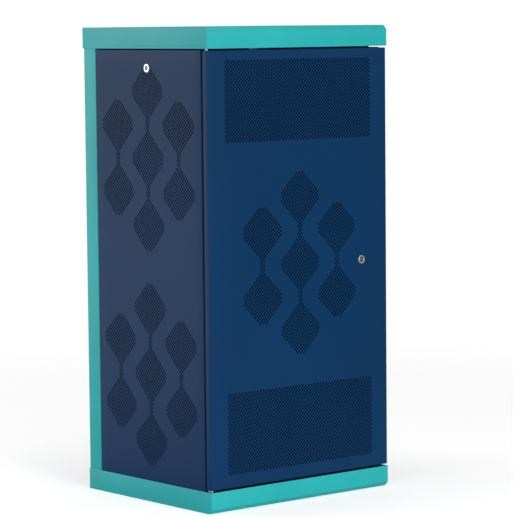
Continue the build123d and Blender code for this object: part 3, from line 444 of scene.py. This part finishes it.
def fold_edges(piece, edges, sides, depth, lip=0.0):
    """Folds sides of a sheet back by a depth, then inwards by a lip."""
    left, right, low, high = edges
    near = 0.0001
    mesh = edit_mesh(piece)
    bpy.ops.mesh.select_all(action="DESELECT")
    bpy.ops.mesh.select_mode(type="EDGE")
    tests = {"left": lambda co: abs(co.x - left) < near,
             "right": lambda co: abs(co.x - right) < near,
             "low": lambda co: abs(co.z - low) < near,
             "high": lambda co: abs(co.z - high) < near}
    for edge in mesh.edges:
        for side in sides:
            if edge.is_boundary and all(tests[side](vertex.co) for vertex in edge.verts):
                edge.select_set(True)
    bpy.ops.mesh.extrude_region_move(TRANSFORM_OT_translate={"value": (0, depth, 0)})
    if lip:
        bpy.ops.mesh.extrude_region_move(TRANSFORM_OT_translate={"value": (0, 0, 0)})
        width, height = right - left, high - low
        folded = ("low" in sides) + ("high" in sides)
        anchor = {0: low, 1: low if "high" in sides else high, 2: (low + high) / 2}[folded]
        shrink = ((width - 2 * lip) / width, 1, (height - folded * lip) / height)
        bpy.ops.transform.resize(value=shrink, center_override=((left + right) / 2, 0, anchor))
    bpy.ops.mesh.select_all(action="SELECT")
    bpy.ops.mesh.normals_make_consistent(inside=False)
    mesh = bmesh.from_edit_mesh(piece.data)
    front = min(mesh.faces, key=lambda side_face: side_face.calc_center_median().y)
    if front.normal.y > 0:
        bpy.ops.mesh.flip_normals()
    bpy.ops.object.mode_set(mode="OBJECT")


def make_sheet(piece, fold_radius, thickness, turn=0):
    """Rounds the folds, gives the sheet its thickness and turns it to its side."""
    apply_modifier(piece, "BEVEL", width=fold_radius, segments=4, limit_method="ANGLE",
                   angle_limit=radians(60))
    apply_modifier(piece, "SOLIDIFY", thickness=thickness, offset=-1, use_even_offset=True)
    bpy.ops.object.shade_smooth_by_angle(angle=radians(35))
    turn_about(piece, turn)


def turn_about(piece, turn):
    """Turns a piece about Z, with its place in the mesh."""
    piece.rotation_euler = (0, 0, radians(turn))
    bpy.ops.object.transform_apply(location=True, rotation=True, scale=True)


def painted_shade_screen(name, middle, half, depth, wave=0.0006):
    """Thin black woven screen behind a punched field, with a hemmed edge. It is painted shade: it
    darkens the holes where the inside is only in shade.

    middle: across and up; half: half size; depth: the screen's distance in front of the middle.
    """
    bpy.ops.mesh.primitive_grid_add(x_subdivisions=round(half[0] * 200),
                                    y_subdivisions=round(half[1] * 200), size=2)
    screen = bpy.context.object
    screen.name = name
    screen.scale = (half[0], half[1], 1)
    screen.rotation_euler = (radians(90), 0, 0)
    screen.location = (middle[0], -depth, middle[1])
    bpy.ops.object.transform_apply(location=True, rotation=True, scale=True)
    edit_mesh(screen)
    bpy.ops.mesh.select_all(action="SELECT")
    bpy.ops.mesh.inset(thickness=0.004, depth=0)
    mesh = bmesh.from_edit_mesh(screen.data)
    for vertex in mesh.verts:
        across, up = vertex.co.x - middle[0], vertex.co.z - middle[1]
        inside = max(0, 1 - max(abs(across) / half[0], abs(up) / half[1]))
        vertex.co.y += wave * sin(across * 90) * cos(up * 70) * min(1, 4 * inside)
    bmesh.update_edit_mesh(screen.data)
    bpy.ops.object.mode_set(mode="OBJECT")
    apply_modifier(screen, "SOLIDIFY", thickness=0.0006, offset=1)
    bpy.ops.object.shade_smooth_by_angle(angle=radians(30))
    return screen


def painted_shade_finish(name):
    """Near-black painted shade for the screens behind the holes, with a woven relief of about one
    thread to the millimetre.
    """
    material, tree, shader, place = new_material(name)
    dust = noise(tree, place, 9.0, 4.0)
    tree.links.new(two_tone(tree, spread(tree, dust, 0, 1), (0.0016, 0.0018, 0.0025),
                            (0.0026, 0.003, 0.004)), shader.inputs["Base Color"])
    shader.inputs["Roughness"].default_value = 0.95
    shader.inputs["Specular IOR Level"].default_value = 0.02
    relief(tree, shader, noise(tree, place, 1000.0, 1.0), 0.0002)
    return material


def key_guide(name, centre, turns, body):
    """Black ring of painted shade that fills the plug's recess, and the bright pin in it that the key
    sits on.
    """
    bpy.ops.object.select_all(action="DESELECT")
    bpy.ops.mesh.primitive_torus_add(major_radius=0.0031, minor_radius=0.00124, major_segments=40,
                                     minor_segments=12)
    ring = bpy.context.object
    ring.name = name
    ring.scale = (1, 1, 0.6)
    ring.rotation_euler = turns
    ring.location = centre
    bpy.ops.object.transform_apply(location=True, rotation=True, scale=True)
    bpy.ops.object.shade_smooth()
    # The black ring is painted shade: the recess it fills is dark only by shade.
    finished(ring, black_plastic, body)
    bpy.ops.object.select_all(action="DESELECT")
    bpy.ops.mesh.primitive_cylinder_add(vertices=32, radius=0.0019, depth=0.0026, location=centre,
                                        rotation=turns)
    pin = bpy.context.object
    pin.name = name.replace("guide", "pin")
    bpy.ops.object.transform_apply(location=True, rotation=True, scale=True)
    soften(pin, 0.0006, 4)
    finished(pin, lock_chrome, body)


# Painted shade: near-black screens darken the punched holes, where the cabinet's inside is only in
# shade.
screen_shade_material = painted_shade_finish("shade_screen_black")
BLUE = (0.0016, 0.0335, 0.106)
blue_paint = powder_coat("blue_paint", BLUE, 0.40, 0.11)
lock_chrome = plated_steel("lock_chrome", (0.78, 0.78, 0.76), 0.27)
# Painted shade: the plugs' steel is darkened to stand in for the shade in their keyways.
shaded_plug_steel = plated_steel("shaded_plug_steel", (0.07, 0.07, 0.075), 0.35)
CELLS_WIDE = 76             # reaches just past the outer chains
CELLS_HIGH = 94             # three diamonds of the middle chain and a margin
panel_low, panel_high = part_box("side_panel_left")
lock_low, lock_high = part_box("side_lock_housing_left")
lock_level = (lock_low.z + lock_high.z) / 2
upper_middle = lock_level - 0.0595 - PERIOD
lower_middle = upper_middle - 0.55
panel_seam = (upper_middle + lower_middle) / 2
TAB_OFFSET = 0.12           # tabs before and behind the lock
TAB_HALF_LENGTH = 0.015
TAB_HEIGHT = 0.005
TAB_DEPTH = 0.006           # middle of a tab behind the panel's face
TAB_HALF_SHEET = 0.001
SCREEN_HALF = (0.195, 0.238)
SCREEN_SETBACK = 0.0022     # clear of the sheet's back
for side, direction, turn in (("left", -1, -90), ("right", 1, 90)):
    panel_middle = direction * (panel_low.y + panel_high.y) / 2
    reach = (panel_high.y - panel_low.y) / 2
    for band, middle, low, high, folds in (
            ("upper", upper_middle, panel_seam, panel_high.z, ("left", "right", "high")),
            ("lower", lower_middle, panel_low.z + 0.0022, panel_seam, ("left", "right", "low"))):
        limits = (panel_middle - reach, panel_middle + reach, low, high)

        def side_hole(across, up):
            """Holes of one group, except where the lock's bezel sits."""
            beside = across - panel_middle
            if abs(beside) < 0.012 and abs(up - lock_level) < 0.012:
                return False
            return on_lattice(beside, up, middle) and in_group(up, beside, middle, 3)

        sheet = punched_sheet(f"side_panel_{side}_{band}", (CELLS_WIDE, CELLS_HIGH),
                              (panel_middle, middle), -panel_low.x, limits, side_hole)
        fold_edges(sheet, limits, folds, panel_high.x - panel_low.x)
        make_sheet(sheet, 0.0016, 0.0012, turn)
        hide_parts("side_panel_" + side)
        finished(sheet, blue_paint, side + "_panel")
        # Painted shade: a black screen behind each group of holes darkens them.
        screen = painted_shade_screen(f"side_shade_screen_{side}_{band}", (panel_middle, middle), SCREEN_HALF,
                             -panel_low.x - SCREEN_SETBACK)
        turn_about(screen, turn)
        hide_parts("side_panel_" + side)
        finished(screen, screen_shade_material, side + "_panel")
    tab_place = -direction * (panel_low.x + TAB_DEPTH)
    for end, offset in (("front", -TAB_OFFSET), ("rear", TAB_OFFSET)):
        tab_middle = (lock_low.y + lock_high.y) / 2 + offset
        tab = from_cube(f"panel_tab_{side}_{end}",
                        (tab_place - TAB_HALF_SHEET, tab_middle - TAB_HALF_LENGTH, panel_low.z),
                        (tab_place + TAB_HALF_SHEET, tab_middle + TAB_HALF_LENGTH,
                         panel_low.z + TAB_HEIGHT))
        soften(tab, 0.0006, 3)
        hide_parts("side_panel_" + side)
        finished(tab, blue_paint, side + "_panel")
    rounded_copy("side_lock_housing_" + side, lock_chrome, 0.0005, 3)
    rounded_copy("side_lock_plug_" + side, shaded_plug_steel, 0.0003, 2)
    plug_low, plug_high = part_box("side_lock_plug_" + side)
    plug_face = direction * max(abs(plug_low.x), abs(plug_high.x))
    key_guide("key_guide_" + side, (plug_face - direction * 0.001, (plug_low.y + plug_high.y) / 2,
                                    lock_level), (0, radians(90), 0), side + "_panel_lock")
    rounded_copy("side_lock_cam_" + side, zinc, 0.0003, 2)

# ------------------------------------------------------------------ rear panel
# Flat slotted sheet screwed to the rear posts with pan-head screws.

rounded_copy("rear_panel", blue_paint, 0.0003, 1)
rounded_copy("rear_panel_screws", zinc, 0.0003, 2)

# ------------------------------------------------------------------ top cap
# Folded turquoise tray that drops over the roof frame, its front edge broken
# at 45 degrees like the plinth's.

rounded_copy("top_cap", turquoise_paint, 0.0009, 3)

# ------------------------------------------------------------------ front door
# Folded blue tray on two pins at the left. A punched field at the top and one at
# the bottom ventilate it, with a group of diamond chains between them.

door_low, door_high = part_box("door_skin")
door_middle = (door_low.z + door_high.z) / 2
door_half = door_high.x
FIELD_CELLS = (98, 42)
FIELD_HALF_WIDTH = 0.24
FIELD_HALF_HEIGHT = 0.1
FIELD_RISE = 0.415          # middle of a field from the middle of the door
group_middle = (round(door_middle / PITCH) + 1) * PITCH
seam_rise = 0.278           # bands' seams from the middle of the group
DOOR_SCREEN_SETBACK = 0.0024


def field_hole(across, up):
    """Rectangular field of staggered rows."""
    level = abs(up - group_middle) - FIELD_RISE
    return (on_lattice(across, up, group_middle) and abs(across) < FIELD_HALF_WIDTH + PITCH / 4
            and abs(level) < FIELD_HALF_HEIGHT + PITCH / 4)


def chain_hole(across, up):
    """Three chains of diamonds in the middle of the door."""
    return on_lattice(across, up, group_middle) and in_group(up, across, group_middle, 3)


door_bands = (
    ("upper", FIELD_CELLS, group_middle + FIELD_RISE, group_middle + seam_rise, door_high.z,
     ("left", "right", "high"), field_hole),
    ("middle", (CELLS_WIDE, CELLS_HIGH), group_middle, group_middle - seam_rise,
     group_middle + seam_rise, ("left", "right"), chain_hole),
    ("lower", FIELD_CELLS, group_middle - FIELD_RISE, door_low.z, group_middle - seam_rise,
     ("left", "right", "low"), field_hole))
for band, cells, level, low, high, folds, has_hole in door_bands:
    limits = (-door_half, door_half, low, high)
    sheet = punched_sheet("door_sheet_" + band, cells, (0, level), -door_low.y, limits, has_hole)
    fold_edges(sheet, limits, folds, door_high.y - door_low.y, 0.012)
    make_sheet(sheet, 0.002, 0.0015)
    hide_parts("door_skin")
    finished(sheet, blue_paint, "front_door")
field_screen_half = (FIELD_HALF_WIDTH + 0.006, FIELD_HALF_HEIGHT + 0.006)
# Painted shade: black screens behind the door's punched fields and chains darken their holes.
for name, rise, half in (("upper", FIELD_RISE, field_screen_half),
                         ("middle", 0, SCREEN_HALF),
                         ("lower", -FIELD_RISE, field_screen_half)):
    screen = painted_shade_screen("door_shade_screen_" + name, (0, group_middle + rise), half,
                         -door_low.y - DOOR_SCREEN_SETBACK)
    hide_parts("door_skin")
    finished(screen, screen_shade_material, "front_door")
rounded_copy("door_stiffeners", black_paint, 0.0004, 2)
rounded_copy("hinge_pin_upper", zinc, 0.0004, 2)
rounded_copy("door_lock_housing", lock_chrome, 0.0005, 3)
rounded_copy("door_lock_plug", shaded_plug_steel, 0.0003, 2)
plug_low, plug_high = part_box("door_lock_plug")
key_guide("key_guide_door", ((plug_low.x + plug_high.x) / 2, plug_low.y + 0.001,
                             (plug_low.z + plug_high.z) / 2), (radians(90), 0, 0), "door_lock")
rounded_copy("door_lock_cam", zinc, 0.0003, 2)

# ------------------------------------------------------------------ floor and backdrop
# A pale floor that fades into a white backdrop, so that no horizon shows.

bpy.ops.object.select_all(action="DESELECT")
bpy.ops.mesh.primitive_circle_add(vertices=96, radius=3.2, fill_type="NGON", location=(0, 0, -0.0005))
floor = bpy.context.object
floor.name = "studio_floor"
floor_material, tree, shader, place = new_material("pale_floor")
shader.inputs["Base Color"].default_value = (0.86, 0.86, 0.86, 1)
shader.inputs["Roughness"].default_value = 0.9
shader.inputs["Specular IOR Level"].default_value = 0.1
distance = tree.nodes.new("ShaderNodeVectorMath")
distance.operation = "LENGTH"
tree.links.new(place, distance.inputs[0])
tree.links.new(spread(tree, distance.outputs["Value"], 1.0, 0.0, (0.7, 3.0)), shader.inputs["Alpha"])
glow = tree.nodes.new("ShaderNodeLightPath")
tree.links.new(spread(tree, glow.outputs["Is Camera Ray"], 0.0, 0.46, (0, 1)),
               shader.inputs["Emission Strength"])
shader.inputs["Emission Color"].default_value = (1, 1, 1, 1)
floor.data.materials.append(floor_material)

world = bpy.data.worlds.new("studio")
bpy.context.scene.world = world
world.use_nodes = True
tree = world.node_tree
backdrop = tree.nodes["Background"]
backdrop.inputs["Color"].default_value = (1, 1, 1, 1)
surroundings = tree.nodes.new("ShaderNodeBackground")
surroundings.inputs["Color"].default_value = (1, 1, 1, 1)
surroundings.inputs["Strength"].default_value = 0.25
seen = tree.nodes.new("ShaderNodeLightPath")
both = tree.nodes.new("ShaderNodeMixShader")
tree.links.new(seen.outputs["Is Camera Ray"], both.inputs["Fac"])
tree.links.new(surroundings.outputs["Background"], both.inputs[1])
tree.links.new(backdrop.outputs["Background"], both.inputs[2])
tree.links.new(both.outputs["Shader"], tree.nodes["World Output"].inputs["Surface"])

# ------------------------------------------------------------------ lights and camera
# A large front light and weaker ones from the left, the right, above and low down.
# The sheen light behind the left side is what that side reflects.


def soft_light(name, place, target, size, power):
    """Square area light aimed at a point."""
    data = bpy.data.lights.new(name, "AREA")
    data.size = size
    data.energy = power
    lamp = bpy.data.objects.new(name, data)
    lamp.location = place
    lamp.rotation_euler = (Vector(target) - Vector(place)).to_track_quat("-Z", "Y").to_euler()
    bpy.context.scene.collection.objects.link(lamp)


soft_light("front_light", (-0.5, -4.6, 1.5), (0, 0, 0.6), 2.2, 122)
soft_light("side_light", (-4.3, -1.2, 0.8), (-0.3, 0, 0.5), 1.6, 6)
soft_light("sheen_light", (-2.9, 3.1, 0.9), (-0.3, 0, 0.5), 3.4, 68)
soft_light("corner_light", (3.0, -3.3, 2.1), (0.2, -0.25, 1.0), 1.2, 7)
soft_light("top_fill", (0.0, -0.5, 4.0), (0, 0, 1.0), 2.5, 34)
soft_light("floor_light", (-1.7, 1.7, 1.6), (-1.4, 1.4, 0.0), 1.2, 12)
soft_light("base_light", (-0.9, -1.9, 0.12), (0.0, -0.25, 0.04), 0.5, 6)

camera = bpy.data.objects.new("camera", bpy.data.cameras.new("camera"))
bpy.context.scene.collection.objects.link(camera)
bpy.context.scene.camera = camera
camera.data.lens = 178.5
camera.data.sensor_width = 36
camera.location = (-4.27, -5.168, 1.221)
azimuth, elevation, roll = radians(-40.01), radians(5.28), radians(0.54)
forward = Vector((-sin(azimuth) * cos(elevation), cos(azimuth) * cos(elevation), -sin(elevation)))
level = forward.to_track_quat("-Z", "Y")
camera.rotation_euler = (Quaternion(forward, roll) @ level).to_euler()
bpy.context.scene.view_settings.view_transform = "Standard"
